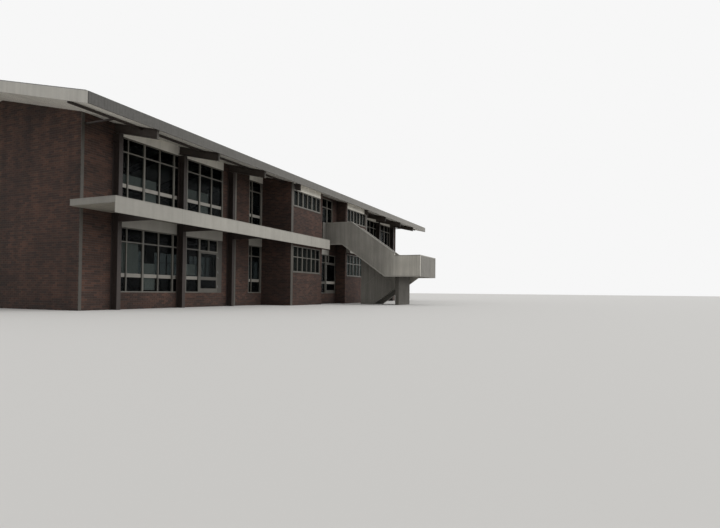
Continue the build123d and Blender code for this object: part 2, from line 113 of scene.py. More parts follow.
def cloud(tree, vector, scale, detail=4, stretch=(1, 1, 1), low=0.0, high=1.0):
    mapping = add(tree, "ShaderNodeMapping")
    mapping.inputs["Scale"].default_value = stretch
    noise = add(tree, "ShaderNodeTexNoise")
    noise.inputs["Scale"].default_value = scale
    noise.inputs["Detail"].default_value = detail
    tree.links.new(vector, mapping.inputs[0])
    tree.links.new(mapping.outputs[0], noise.inputs["Vector"])
    return spread(tree, noise.outputs["Fac"], *noiseRange, low, high)


def spread(tree, value, start, end, low, high):  # a value from start to end becomes low to high
    ramp = add(tree, "ShaderNodeMapRange")
    for key, number in (("From Min", start), ("From Max", end), ("To Min", low), ("To Max", high)):
        ramp.inputs[key].default_value = number
    tree.links.new(value, ramp.inputs["Value"])
    return ramp.outputs[0]


def bumpFrom(tree, shader, height, distance):
    bump = add(tree, "ShaderNodeBump")
    bump.inputs["Distance"].default_value = distance
    tree.links.new(height, bump.inputs["Height"])
    tree.links.new(bump.outputs[0], shader.inputs["Normal"])


def blank(name):
    material = bpy.data.materials.new(name)
    material.use_nodes = True
    tree = material.node_tree
    return material, tree, tree.nodes["Principled BSDF"]


def gap(tree, along, pitch, width):  # 1 in the joint between boards, 0 on them
    part = calc(tree, "FRACT", calc(tree, "DIVIDE", along, pitch))
    edge = calc(tree, "MINIMUM", part, calc(tree, "SUBTRACT", 1, part))
    return calc(tree, "LESS_THAN", edge, width / pitch / 2)


# brick: the mortar and the colours of the single bricks come from one pattern
brickWork = {"length": 0.24, "course": 0.086, "joint": 0.0092, "jointBlur": 0.15, "darkShare": -0.1,
             "dark": (50, 34, 28), "light": (80, 54, 43), "mortar": (84, 77, 69), "roughness": 0.88,
             "stain": 0.45, "stainScale": 0.55, "gritScale": 38, "rainScale": 2.6, "splashTop": 0.5,
             "splash": 0.72, "jointDepth": 0.004, "gritDepth": 0.35,
             "relief": 0.006, "unevenness": 0.0012, "leastSide": 0.02, "leastCut": 0.012}


def brickMaterial(name, streak=0.1):
    material, tree, shader = blank(name)
    wall = wallSpace(tree)
    brick = add(tree, "ShaderNodeTexBrick", offset=0.5, offset_frequency=2)
    for key, value in (("Scale", 1.0), ("Mortar Size", brickWork["joint"] / 2),
                       ("Mortar Smooth", brickWork["jointBlur"]), ("Bias", brickWork["darkShare"]),
                       ("Brick Width", brickWork["length"]), ("Row Height", brickWork["course"])):
        brick.inputs[key].default_value = value
    for key, colour in (("Color1", "dark"), ("Color2", "light"), ("Mortar", "mortar")):
        brick.inputs[key].default_value = (*linear(brickWork[colour]), 1)
    tree.links.new(wall["flat"], brick.inputs["Vector"])
    patches = cloud(tree, wall["object"], brickWork["stainScale"], 5, low=1 - brickWork["stain"], high=1.12)
    grit = cloud(tree, wall["object"], brickWork["gritScale"], 3, low=0.82, high=1.12)
    rain = cloud(tree, wall["object"], brickWork["rainScale"], 3, (1, 1, 0.05), 1 - streak, 1 + streak)
    splash = spread(tree, wall["place"].outputs[2], 0, brickWork["splashTop"], brickWork["splash"], 1)
    colour = brick.outputs["Color"]
    for layer in (patches, grit, rain, splash):
        colour = blendColour(tree, 1.0, colour, layer, "MULTIPLY")
    tree.links.new(colour, shader.inputs["Base Color"])
    shader.inputs["Roughness"].default_value = brickWork["roughness"]
    proud = calc(tree, "SUBTRACT", 1, brick.outputs["Fac"])
    height = calc(tree, "MULTIPLY_ADD", grit, brickWork["gritDepth"], proud)
    bumpFrom(tree, shader, height, brickWork["jointDepth"])
    return material


# paint, boards and sheet: rain streaks, patches, fine grain, joints where a pitch is given, and painted shade
# along one axis where one is given
paintWork = {"rainScale": 5.5, "rainStretch": (1, 1, 0.08), "patchScale": 1.1, "grainScale": 60,
             "grain": 0.0008, "groove": 0.004, "darkerShare": 0.6,
             "glossScale": 9, "glossier": 0.08, "duller": 0.12}


def paintedMaterial(name, colour, roughness=0.55, streak=0.16, patch=0.1, pitch=0, joint=0.006,
                    run="along", metal=0.0, contrast=0.16, depth=0.45, paintedShade=None):
    material, tree, shader = blank(name)
    wall = wallSpace(tree)
    rain = cloud(tree, wall["object"], paintWork["rainScale"], 5, paintWork["rainStretch"], 1 - streak, 1.04)
    patches = cloud(tree, wall["object"], paintWork["patchScale"], 4, low=1 - patch, high=1.05)
    fine = cloud(tree, wall["object"], paintWork["grainScale"], 3)
    tint = blendColour(tree, 1.0, linear(colour), rain, "MULTIPLY")
    tint = blendColour(tree, 1.0, tint, patches, "MULTIPLY")
    if paintedShade:  # painted shade: axis, where it is darkest, where that ends, and the share of the colour left there
        axis, start, end, low = paintedShade
        shadeShare = spread(tree, wall["place"].outputs["XYZ".index(axis)], start, end, low, 1)
        tint = blendColour(tree, 1.0, tint, shadeShare, "MULTIPLY")
    height = fine
    distance = paintWork["grain"]
    if pitch:
        way = wall["along"] if run == "along" else wall["place"].outputs["XYZ".index(run)]
        line = gap(tree, way, pitch, joint)
        tint = blendColour(tree, line, tint, blendColour(tree, 1.0, tint, depth, "MULTIPLY"))
        boards = calc(tree, "FLOOR", calc(tree, "DIVIDE", way, pitch))
        each = add(tree, "ShaderNodeTexWhiteNoise", noise_dimensions="1D")
        tree.links.new(boards, each.inputs["W"])
        darkest = 1 - contrast * paintWork["darkerShare"]
        shade = calc(tree, "MULTIPLY_ADD", each.outputs["Value"], contrast, darkest)
        tint = blendColour(tree, 1.0, tint, shade, "MULTIPLY")
        distance = paintWork["groove"]
        proud = calc(tree, "SUBTRACT", 1, line)
        height = calc(tree, "MULTIPLY_ADD", fine, paintWork["grain"] / distance, proud)
    tree.links.new(tint, shader.inputs["Base Color"])
    rough = cloud(tree, wall["object"], paintWork["glossScale"], 3, low=roughness - paintWork["glossier"],
                  high=min(1, roughness + paintWork["duller"]))
    tree.links.new(rough, shader.inputs["Roughness"])
    shader.inputs["Metallic"].default_value = metal
    bumpFrom(tree, shader, height, distance)
    return material


# concrete: poured against boards, pitted
castWork = {"patchScale": 1.4, "pitScale": 45, "pitDepth": 0.6, "board": 0.15, "joint": 0.004,
            "jointShade": 0.75, "relief": 0.003, "roughness": 0.85}


def concreteMaterial(name, colour):
    material, tree, shader = blank(name)
    wall = wallSpace(tree)
    patches = cloud(tree, wall["object"], castWork["patchScale"], 6, low=0.72, high=1.08)
    pits = cloud(tree, wall["object"], castWork["pitScale"], 6, low=0.85, high=1.06)
    tint = blendColour(tree, 1.0, linear(colour), patches, "MULTIPLY")
    tint = blendColour(tree, 1.0, tint, pits, "MULTIPLY")
    line = gap(tree, wall["along"], castWork["board"], castWork["joint"])
    tint = blendColour(tree, line, tint, blendColour(tree, 1.0, tint, castWork["jointShade"], "MULTIPLY"))
    tree.links.new(tint, shader.inputs["Base Color"])
    shader.inputs["Roughness"].default_value = castWork["roughness"]
    height = calc(tree, "MULTIPLY_ADD", pits, castWork["pitDepth"], calc(tree, "SUBTRACT", 1, line))
    bumpFrom(tree, shader, height, castWork["relief"])
    return material


# glass: partly clear, partly a mirror, more so at a slant
windowGlass = {"shine": 0.1, "atEdge": 0.3, "edgeBlend": 0.25, "mirror": 0.35, "body": (0.012, 0.014, 0.015),
               "ripple": 0.0025, "rippleScale": 1.3, "smearScale": 3.0, "smear": (0.02, 0.10)}


def glassMaterial(name, through):
    material, tree, shader = blank(name)
    wall = wallSpace(tree)
    output = tree.nodes["Material Output"]
    clear = add(tree, "ShaderNodeBsdfTransparent")
    clear.inputs[0].default_value = (*through, 1)
    shader.inputs["Base Color"].default_value = (*windowGlass["body"], 1)
    shader.inputs["Specular IOR Level"].default_value = windowGlass["mirror"]
    bumpFrom(tree, shader, cloud(tree, wall["object"], windowGlass["rippleScale"], 2), windowGlass["ripple"])
    smear = cloud(tree, wall["object"], windowGlass["smearScale"], 5, (1, 1, 0.2), *windowGlass["smear"])
    tree.links.new(smear, shader.inputs["Roughness"])
    edge = add(tree, "ShaderNodeLayerWeight")
    edge.inputs["Blend"].default_value = windowGlass["edgeBlend"]
    amount = calc(tree, "MULTIPLY_ADD", edge.outputs["Fresnel"], windowGlass["atEdge"], windowGlass["shine"])
    mix = add(tree, "ShaderNodeMixShader")
    tree.links.new(amount, mix.inputs[0])
    tree.links.new(clear.outputs[0], mix.inputs[1])
    tree.links.new(shader.outputs[0], mix.inputs[2])
    tree.links.new(mix.outputs[0], output.inputs["Surface"])
    return material


paintedCanopyShade = ("Z", 3.4, 4.4)  # painted shade under the canopies: the lower storey is darker; each finish gives its own share
stairTimber = {"pitch": 0.15, "streak": 0.22, "patch": 0.14, "roughness": 0.65}  # the parapets' boards

# one finish for each slot of the record
finishes = {
    "brick": brickMaterial("brickwork"),
    "concrete": concreteMaterial("castConcrete", (112, 109, 103)),
    "steel_dark": paintedMaterial("columnPaint", (46, 38, 34), 0.5, 0.2, 0.12),
    "frame_paint": paintedMaterial("windowPaint", (105, 102, 95), 0.45, 0.14),
    "pale_paint": paintedMaterial("paleBoards", (176, 172, 163), 0.5, 0.12),
    "fascia_paint": paintedMaterial("greyBoards", (84, 80, 74), 0.55, 0.14),
    "glazing": glassMaterial("windowGlass", (0.56, 0.59, 0.59)),
    # painted shade: the canopy boards darken toward the -x end
    "canopy_board": paintedMaterial("canopyPaint", (148, 145, 137), 0.55, 0.1, 0.08, pitch=3.25, joint=0.008,
                                    run="X", contrast=0.05, paintedShade=("X", -16, -9, 0.74)),
    "soffit_board": paintedMaterial("canopySoffit", (150, 145, 134), 0.6, 0.1, 0.12, pitch=0.1, run="Y"),
    "roofing": paintedMaterial("roofSheet", (118, 119, 117), 0.6, 0.15, 0.25),
    "stair_boards": paintedMaterial("stairBoards", (132, 129, 121), contrast=0.14, **stairTimber),
    "door_paint": paintedMaterial("doorPaint", (112, 110, 103), 0.45, 0.12),
    "hinge_steel": paintedMaterial("hingeSteel", (130, 130, 128), 0.35, 0.1, metal=0.9),
}

# finishes of pieces that are made here
sillFinish = paintedMaterial("sillPaint", (80, 76, 70), 0.7, 0.16)
headEndFinish = paintedMaterial("headEndPaint", (44, 38, 34), 0.6, 0.16)
# painted shade: the cover strips are darker under the canopies
coverFinish = paintedMaterial("coverPaint", (104, 101, 94), 0.5, 0.14, paintedShade=(*paintedCanopyShade, 0.55))
# painted shade: the landing end board is a darker copy of the parapet boards
landingFinish = paintedMaterial("landingBoards", (104, 101, 95), 0.65, 0.2, 0.14, pitch=0.15, contrast=0.12)
plateFinish = paintedMaterial("endPlatePaint", (74, 71, 66), 0.5, 0.14)
footFinish = paintedMaterial("footStripPaint", (160, 157, 149), 0.55, 0.12)
capFinish = paintedMaterial("parapetCaps", (144, 141, 133), 0.55, 0.12)
roomFinish = paintedMaterial("roomBoards", (226, 223, 215), 0.8, 0.04, 0.1, pitch=0.6, joint=0.005)
blindFinish = paintedMaterial("dimBlinds", (128, 124, 116), 0.85, 0.06, 0.2, pitch=0.4, joint=0.01)

# nodes whose finish differs from the one that their slot gives
ownFinish = {
    # painted shade: the eave fascias darken steadily toward the -x end, to under a third of their colour
    "eave_fascias": paintedMaterial("eaveFascia", (122, 119, 113), 0.6, 0.1, 0.08, pitch=0.11, joint=0.012,
                                    run="X", contrast=0.05, depth=0.8, paintedShade=("X", -17, 12, 0.28)),
    # painted light and shade: the beams' steel paint is lifted above the columns' and darkens toward the -x
    # end
    "roof_beams": paintedMaterial("beamPaint", (76, 67, 61), 0.5, 0.2, 0.12, paintedShade=("X", -16, 12, 0.62)),
    "corner_strips": paintedMaterial("cornerStrips", (70, 66, 60), 0.55, 0.16),
    # painted shade: the front window frames are darker under the canopies
    "front_window_frames": paintedMaterial("frontFrames", (105, 102, 95), 0.45, 0.14,
                                           paintedShade=(*paintedCanopyShade, 0.7)),
    "door_jambs": paintedMaterial("doorJambs", (66, 63, 58), 0.5, 0.14),
    "front_door_leaf": paintedMaterial("frontDoorPaint", (78, 75, 69), 0.45, 0.12),
    "recess_door_leaf": paintedMaterial("recessDoorPaint", (94, 91, 85), 0.45, 0.12),
    # painted sunlight: the parapet boards are bright from y -8.0 outward and about half as bright from y -7.1
    # inward
    "outer_parapet": paintedMaterial("outerBoards", (193, 189, 179), contrast=0.12,
                                     paintedShade=("Y", -7.1, -8.0, 0.505), **stairTimber),
    # painted shade: the front parapet's boards are darker than the other stair boards
    "front_parapet": paintedMaterial("frontBoards", (120, 117, 110), contrast=0.14, **stairTimber),
    "stair_pier": concreteMaterial("pierConcrete", (88, 85, 79)),
    # painted sunlight: the verge boards are far paler than the eave fascias, as lit gable ends
    "verge_boards": paintedMaterial("vergeBoards", (184, 181, 173), 0.55, 0.14),
    # painted shade: the window rails are darker under the canopies
    "window_rails": paintedMaterial("railPaint", (146, 142, 134), 0.5, 0.12, paintedShade=(*paintedCanopyShade, 0.7)),
    # painted light and shade: the head panels are lifted pale above 5 m and darker below 4 m, under the
    # canopies
    "head_panels": paintedMaterial("headPanels", (222, 218, 208), 0.5, 0.1, paintedShade=("Z", 4.0, 5.0, 0.46)),
    # pale soffit paint, lifted further as painted light for light thrown up from the ground
    "soffit_lining": paintedMaterial("eaveSoffit", (228, 224, 214), 0.6, 0.08, 0.1, pitch=0.1, run="Y"),
    "end_walls": brickMaterial("gableBrick", 0.28),
    "rear_window_glass": glassMaterial("rearGlass", (0.3, 0.32, 0.32)),
}

slotOf = {part["node"]: part["material_slot"] for part in frame["record"]["subparts"]}
for name, piece in nodes.items():
    finish = ownFinish.get(name) or finishes[slotOf[name]]
    if not piece.material_slots:
        piece.data.materials.append(finish)
    for holder in piece.material_slots:
        holder.material = finish
print("CAD nodes painted:", len(nodes))


def pieceFrom(name, corners, faces, finish, body="building"):
    mesh = bpy.data.meshes.new(name)
    mesh.from_pydata(corners, [], faces)
    mesh.validate()
    mesh.update()
    piece = bpy.data.objects.new(name, mesh)
    bpy.context.scene.collection.objects.link(piece)
    mesh.materials.append(finish)
    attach(piece, body)
    return piece


boxFaces = ((3, 2, 1, 0), (4, 5, 6, 7), (0, 1, 5, 4), (1, 2, 6, 5), (2, 3, 7, 6), (3, 0, 4, 7))


def addBlock(corners, faces, low, high):
    addRaked(corners, faces, low[:2], high[:2], (low[2], low[2]), (high[2], high[2]))


def addRaked(corners, faces, low, high, bottoms, tops):  # a block whose top and bottom may slope along y
    start = len(corners)
    (x0, y0), (x1, y1) = low, high
    for near, far in (bottoms, tops):
        corners += [(x0, y0, near), (x1, y0, near), (x1, y1, far), (x0, y1, far)]
    faces += [tuple(start + i for i in face) for face in boxFaces]


def addHead(corners, faces, middle, out):  # a six-sided bolt head on a face that looks along out
    start = len(corners)
    axis = Vector(out).normalized()
    side = axis.orthogonal().normalized()
    other = axis.cross(side)
    for reach in (Vector((0, 0, 0)), Vector(out)):
        for k in range(6):
            spoke = side * math.cos(k * math.pi / 3) + other * math.sin(k * math.pi / 3)
            corners.append(tuple(Vector(middle) + reach + spoke * bolt["radius"]))
    faces.append(tuple(start + 6 + k for k in range(6)))
    for k in range(6):
        following = (k + 1) % 6
        faces.append((start + k, start + following, start + 6 + following, start + 6 + k))


# how close corners are joined, how flat a face is, and how straight it looks one way
meshWork = {"weld": 0.0005, "flat": 0.01, "facing": 0.99, "raked": 0.3}


def openMesh(node):  # a working copy of a node's mesh, its corners joined
    work = bmesh.new()
    work.from_mesh(nodes[node].data)
    bmesh.ops.remove_doubles(work, verts=work.verts, dist=meshWork["weld"])
    return work


def facesOf(node, test):  # corner rings of the whole flat faces whose normal passes the test
    work = openMesh(node)
    bmesh.ops.dissolve_limit(work, angle_limit=meshWork["flat"], verts=work.verts, edges=work.edges)
    rings = [[v.co.copy() for v in face.verts] for face in work.faces if test(face.normal)]
    work.free()
    return rings


def solidsOf(node):  # lowest and highest corners of each loose part
    work = openMesh(node)
    loose = set(work.verts)
    found = []
    while loose:
        queue = [loose.pop()]
        group = list(queue)
        while queue:
            for edge in queue.pop().link_edges:
                for vert in edge.verts:
                    if vert in loose:
                        loose.remove(vert)
                        queue.append(vert)
                        group.append(vert)
        places = [v.co for v in group]
        low = tuple(min(p[k] for p in places) for k in range(3))
        high = tuple(max(p[k] for p in places) for k in range(3))
        found.append((low, high))
    work.free()
    return sorted(found)


left, right, ahead, behind = (-1, 0, 0), (1, 0, 0), (0, -1, 0), (0, 1, 0)


def facesToward(node, outward):
    return facesOf(node, lambda normal: normal.dot(Vector(outward)) > meshWork["facing"])


def roofTop(y):
    run = min(y - front, back - y) + building["eaveReach"]
    return building["eaveTop"] + run * math.tan(roofPitch)


def roofUnder(y):
    return roofTop(y) - building["roofThick"] / math.cos(roofPitch)


def onBlock(y):  # the two blocks stand out from the wings by more than this step
    return y < front - building["blockStep"]


def blockWindows():  # the wide windows in the blocks' fronts
    return [(low, high) for low, high in solidsOf("front_window_frames")
            if onBlock(low[1]) and high[0] - low[0] > building["wideWindow"]]


# bricks stand a little proud of their mortar
def areasOf(names, outward, test=None):  # the way a wall faces, its plane and its limits
    axis = 0 if outward[0] else 1
    found = []
    for name in names:
        for ring in facesToward(name, outward):
            us = [co[1 - axis] for co in ring]
            vs = [co[2] for co in ring]
            if test is None or test(ring[0][axis]):
                found.append((outward, ring[0][axis], min(us), max(us), min(vs), max(vs)))
    return found


def layBricks(name, areas, finish):
    corners, faces = [], []
    half = brickWork["joint"] / 2
    length, course = brickWork["length"], brickWork["course"]
    for (outward, place, u0, u1, v0, v1) in areas:
        axis = 0 if outward[0] else 1
        sign = outward[axis]
        for row in range(int(v0 / course) - 1, int(v1 / course) + 2):
            low, high = max(v0, row * course + half), min(v1, (row + 1) * course - half)
            if high - low < brickWork["leastSide"]:
                continue
            shift = length / 2 if row % 2 == 0 else 0
            first = math.floor((u0 + shift) / length)
            for k in range(first, int((u1 + shift) / length) + 2):
                a = max(u0, k * length - shift + half)
                b = min(u1, (k + 1) * length - shift - half)
                if b - a < brickWork["leastSide"]:
                    continue
                ends = (a, b) if axis == 0 else (place, place)
                tops = [min(high, roofUnder(y)) for y in ends]
                if min(tops) - low < brickWork["leastCut"]:
                    continue
                uneven = random.uniform(-brickWork["unevenness"], brickWork["unevenness"])
                out = place + sign * (brickWork["relief"] + uneven)
                start = len(corners)
                ring = [(a, low), (b, low), (b, tops[1]), (a, tops[0])]
                for depth in (place - sign * sunk, out):
                    for u, v in ring:
                        corners.append((depth, u, v) if axis == 0 else (u, depth, v))
                flip = (axis == 0) == (sign < 0)
                for quad in boxFaces[1:]:  # all but the face in the wall
                    loop = tuple(start + i for i in quad)
                    faces.append(tuple(reversed(loop)) if flip else loop)
    return pieceFrom(name, corners, faces, finish)


wallPlanes = {"gable": (15.5, 16), "blockOuter": (4.9, 4.96), "blockInner": (1.5, 1.6)}


def onPlane(name, side):  # whether a wall stands on the outside of that plane, left (-1) or right (1)
    low, high = wallPlanes[name]
    return lambda x: low < side * x < high


gableBrick, plainBrick = ownFinish["end_walls"], finishes["brick"]
layBricks("nearGableBricks", areasOf(["end_walls"], left, onPlane("gable", -1)), gableBrick)
layBricks("farGableBricks", areasOf(["end_walls"], right, onPlane("gable", 1)), gableBrick)
layBricks("frontBricks", areasOf(["front_wall_piers", "front_wall_bands"], ahead), plainBrick)
blockAreas = []
for outward, side in ((left, -1), (right, 1)):
    outer, inner = onPlane("blockOuter", side), onPlane("blockInner", -side)
    blockAreas += areasOf(["block_side_walls"], outward, lambda x: outer(x) or inner(x))
blockAreas += areasOf(["block_side_walls"], ahead)
layBricks("blockBricks", blockAreas, plainBrick)
layBricks("rearBricks", areasOf(["rear_wall_bands", "rear_wall_piers"], behind), plainBrick)
layBricks("cornerBricks", areasOf(["end_walls"], ahead) + areasOf(["end_walls"], behind), gableBrick)
print("bricks laid")

# roof sheet: ribs from the ridge to the eaves, and a folded edge strip along each eave and verge
roofSheet = {"pitch": 0.3, "ribWidth": 0.036, "ribTop": 0.02, "ribHeight": 0.022, "inset": 0.05,
             "ribToRidge": 0.19, "ribToEave": 0.16, "edgeStrip": 0.14, "edgeThick": 0.004,
             "vergeThick": 0.026, "vergeToRidge": 0.2}


def layRibs():
    corners, faces = [], []
    ridge = (front + back) / 2
    reach = building["vergeEnd"] - roofSheet["inset"]
    count = int(2 * reach / roofSheet["pitch"])
    w, t, h = roofSheet["ribWidth"] / 2, roofSheet["ribTop"] / 2, roofSheet["ribHeight"]
    runs = ((front - building["eaveReach"] + roofSheet["ribToEave"], ridge - roofSheet["ribToRidge"]),
            (back + building["eaveReach"] - roofSheet["ribToEave"], ridge + roofSheet["ribToRidge"]))
    for i in range(count + 1):
        x = -reach + roofSheet["inset"] + i * (2 * reach - 2 * roofSheet["inset"]) / count
        for y0, y1 in runs:
            start = len(corners)
            for y in (y0, y1):
                z = roofTop(y)
                corners += [(x - w, y, z - sunk), (x - t, y, z + h), (x + t, y, z + h), (x + w, y, z - sunk)]
            for quad in ((0, 1, 5, 4), (1, 2, 6, 5), (2, 3, 7, 6), (3, 2, 1, 0), (4, 5, 6, 7)):
                loop = tuple(start + k for k in quad)
                faces.append(loop if y1 > y0 else tuple(reversed(loop)))
    return pieceFrom("roofRibs", corners, faces, finishes["roofing"])


def foldEdges():
    corners, faces = [], []
    end, wide, off = building["vergeEnd"], roofSheet["edgeStrip"], roofSheet["vergeToRidge"]
    eaves = (front - building["eaveReach"], back + building["eaveReach"])
    ridge = (front + back) / 2
    strips = []
    for y, inward in ((eaves[0], 1), (eaves[1], -1)):
        y0, y1 = sorted((y + inward * sunk, y + inward * wide))
        strips.append((-end + sunk, end - sunk, y0, y1, roofSheet["edgeThick"]))
    for x0, x1 in ((-end + sunk, -end + wide), (end - wide, end - sunk)):
        for y0, y1 in ((eaves[0] + wide, ridge - off), (ridge + off, eaves[1] - wide)):
            strips.append((x0, x1, y0, y1, roofSheet["vergeThick"]))
    for x0, x1, y0, y1, thick in strips:
        zs = (roofTop(y0), roofTop(y1))
        addRaked(corners, faces, (x0, y0), (x1, y1), [z - sunk for z in zs], [z + thick for z in zs])
    return pieceFrom("roofEdgeStrips", corners, faces, finishes["roofing"])


layRibs()
foldEdges()
print("roof sheet laid")

# beam ends with their bolts, and the bolts where each beam sits on its column
beamEnds = {"width": 0.085, "frontLines": (14.25, 11.0, 7.75), "rearLines": (14.25, 11.0, 7.75, 4.5, 1.5),
            "past": 2.19, "drop": 0.345, "thick": 0.012, "underRoof": 0.01,
            "boltAside": 0.025, "boltUp": 0.05}
bolt = {"radius": 0.012, "out": 0.009, "columnDrops": (0.09, 0.2), "columnAside": 0.045}


def fitBeamEnds():
    corners, faces = [], []
    places = [(s * x, front - beamEnds["past"], -1) for x in beamEnds["frontLines"] for s in (-1, 1)]
    places += [(s * x, back + beamEnds["past"], 1) for x in beamEnds["rearLines"] for s in (-1, 1)]
    for x, y, out in places:
        top = roofUnder(y)
        low = top - beamEnds["drop"]
        y0, y1 = sorted((y, y + out * beamEnds["thick"]))
        w = beamEnds["width"] / 2
        addBlock(corners, faces, (x - w, y0, low), (x + w, y1, top - beamEnds["underRoof"]))
        for dx in (-beamEnds["boltAside"], beamEnds["boltAside"]):
            middle = (x + dx, y1 if out > 0 else y0, low + beamEnds["boltUp"])
            addHead(corners, faces, middle, (0, out * bolt["out"], 0))
    return pieceFrom("beamEndPlates", corners, faces, plateFinish)


def boltColumns():
    corners, faces = [], []
    for low, high in solidsOf("columns"):
        y0, y1 = low[1], high[1]
        x = (low[0] + high[0]) / 2
        out = -1 if (y0 + y1) / 2 < (front + back) / 2 else 1
        face = y0 if out < 0 else y1
        for drop in bolt["columnDrops"]:
            for dx in (-bolt["columnAside"], bolt["columnAside"]):
                addHead(corners, faces, (x + dx, face, high[2] - drop), (0, out * bolt["out"], 0))
    return pieceFrom("columnBolts", corners, faces, finishes["steel_dark"])


gusset = {"thick": 0.008, "height": 0.3, "flange": 0.016, "below": 0.004, "underRoof": 0.01,
          "drops": (0.07, 0.23), "aside": 0.09, "leastHeight": 1, "leastDepth": 0.2}


def fitGussets():  # plates closing both open sides of each column's head
    corners, faces = [], []
    for low, high in solidsOf("columns"):
        top = high[2] - gusset["below"]
        y0, y1 = low[1] + gusset["flange"], high[1] - gusset["flange"]
        if high[2] - low[2] < gusset["leastHeight"] or y1 - y0 < gusset["leastDepth"]:
            continue
        head = min(top, roofUnder(y0) - gusset["underRoof"], roofUnder(y1) - gusset["underRoof"])
        for x, out in ((low[0], -1), (high[0], 1)):
            x0, x1 = sorted((x, x - out * gusset["thick"]))
            addBlock(corners, faces, (x0, y0, top - gusset["height"]), (x1, y1, head))
            for drop in gusset["drops"]:
                for dy in (-gusset["aside"], gusset["aside"]):
                    middle = (x, (y0 + y1) / 2 + dy, top - drop)
                    addHead(corners, faces, middle, (out * bolt["out"], 0, 0))
    return pieceFrom("columnGussets", corners, faces, finishes["steel_dark"])


fitBeamEnds()
boltColumns()
fitGussets()
print("steel plates and bolts fitted")

# stair: boards on the parapets, caps along their tops and a strip along the outer one's foot
stair = {"board": 0.15, "gap": 0.006, "proud": 0.006, "leastBoard": 0.012, "cap": 0.05, "lip": 0.014,
         "foot": 0.06, "footProud": 0.014, "footInside": 0.01, "corner": 1e-4, "slack": 1e-6}


def heightsAt(ring, y):  # lowest and highest points of an upright face at one place along it
    zs = []
    slack = stair["slack"]
    for k, first in enumerate(ring):
        second = ring[(k + 1) % len(ring)]
        a, b = (first, second) if first.y < second.y else (second, first)
        if a.y - slack <= y <= b.y + slack and b.y - a.y > slack:
            zs.append(a.z + (b.z - a.z) * (y - a.y) / (b.y - a.y))
    return (min(zs), max(zs)) if zs else None


def slopeOf(ring):  # the places of a raked face's ends along y, and the heights there
    zAt = {round(co.y, 3): co.z for co in ring}
    ends = (min(co.y for co in ring), max(co.y for co in ring))
    return ends, [zAt[round(y, 3)] for y in ends]


def boardParapets():
    corners, faces = [], []
    width, off = stair["board"], stair["corner"]
    parapets = ("outer_parapet", "far_parapet", "inner_parapet")
    for node, outward in [(parapet, way) for parapet in parapets for way in (left, right)]:
        for ring in facesToward(node, outward):
            knees = sorted({round(co.y, 4) for co in ring})
            cuts = [k * width for k in range(int(knees[0] / width) - 1, int(knees[-1] / width) + 1)]
            joints = [(y, stair["gap"] / 2) for y in cuts if knees[0] < y < knees[-1]]
            stops = sorted([(y, 0) for y in knees] + joints)
            x0, x1 = sorted((ring[0].x - outward[0] * sunk, ring[0].x + outward[0] * stair["proud"]))
            for (a, gapA), (b, gapB) in zip(stops, stops[1:]):
                a, b = a + gapA, b - gapB
                if b - a < stair["leastBoard"]:
                    continue
                low, high = heightsAt(ring, a + off), heightsAt(ring, b - off)
                if low and high:
                    addRaked(corners, faces, (x0, a), (x1, b), (low[0], high[0]), (low[1], high[1]))
    # the boards carry the outer parapet's painted sunlight
    return pieceFrom("parapetBoards", corners, faces, ownFinish["outer_parapet"])


def capParapets():
    corners, faces = [], []
    lip = stair["lip"]
    for node in ("outer_parapet", "far_parapet", "inner_parapet", "front_parapet"):
        for ring in facesOf(node, lambda normal: normal.z > meshWork["raked"]):
            xs = [co.x for co in ring]
            (y0, y1), zs = slopeOf(ring)
            if node == "front_parapet":
                low, high = (min(xs), y0 + sunk), (max(xs) + lip, y1 + lip)
            else:
                low, high = (min(xs) - lip, y0), (max(xs) + lip, y1)
            addRaked(corners, faces, low, high, zs, [z + stair["cap"] for z in zs])
    return pieceFrom("parapetCaps", corners, faces, capFinish)


def trimFoot():
    corners, faces = [], []
    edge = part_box("outer_parapet")[0][0]
    for ring in facesOf("outer_parapet", lambda normal: normal.z < -meshWork["raked"]):
        (y0, y1), zs = slopeOf(ring)
        addRaked(corners, faces, (edge - stair["footProud"], y0), (edge + stair["footInside"], y1), zs,
                 [z + stair["foot"] for z in zs])
    return pieceFrom("parapetFootTrim", corners, faces, footFinish)


# a board on the recess wall that carries the outer parapet's line on to the left of it
landingEnd = {"left": 0.34, "proud": 0.06, "low": 3.74, "high": 5.11, "offWall": 0.012, "offParapet": 0.008,
              "capLip": 0.01, "offCap": 0.001}


def closeLanding():
    corners, faces = [], []
    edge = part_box("outer_parapet")[0][0]
    wall = max(co.y for ring in facesToward("outer_parapet", left) for co in ring)
    x0, y0, y1 = edge - landingEnd["left"], wall - landingEnd["proud"], wall - landingEnd["offWall"]
    lip, top = landingEnd["capLip"], landingEnd["high"]
    addBlock(corners, faces, (x0, y0, landingEnd["low"]), (edge - landingEnd["offParapet"], y1, top))
    addBlock(corners, faces, (x0 - lip, y0 - lip, top),
             (edge - stair["lip"] - landingEnd["offCap"], y1, top + stair["cap"]))
    return pieceFrom("landingEndBoard", corners, faces, landingFinish)


# a pale plate across the recess door's middle rail
doorPlate = {"low": 1.275, "high": 1.44, "fromHinge": 0.06, "fromEdge": 0.006, "thick": 0.004, "sunk": 0.001,
             "leafFace": 1}


def fitDoorPlate():
    corners, faces = [], []
    low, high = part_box("recess_door_leaf")
    y = min(ring[0].y for ring in facesToward("recess_door_leaf", ahead)
            if max(co.z for co in ring) - min(co.z for co in ring) > doorPlate["leafFace"])
    addBlock(corners, faces, (low[0] + doorPlate["fromHinge"], y - doorPlate["thick"], doorPlate["low"]),
             (high[0] - doorPlate["fromEdge"], y + doorPlate["sunk"], doorPlate["high"]))
    return pieceFrom("recessDoorPlate", corners, faces, finishes["pale_paint"], "recess_door")


boardParapets()
capParapets()
trimFoot()
closeLanding()
fitDoorPlate()
print("stair dressed")

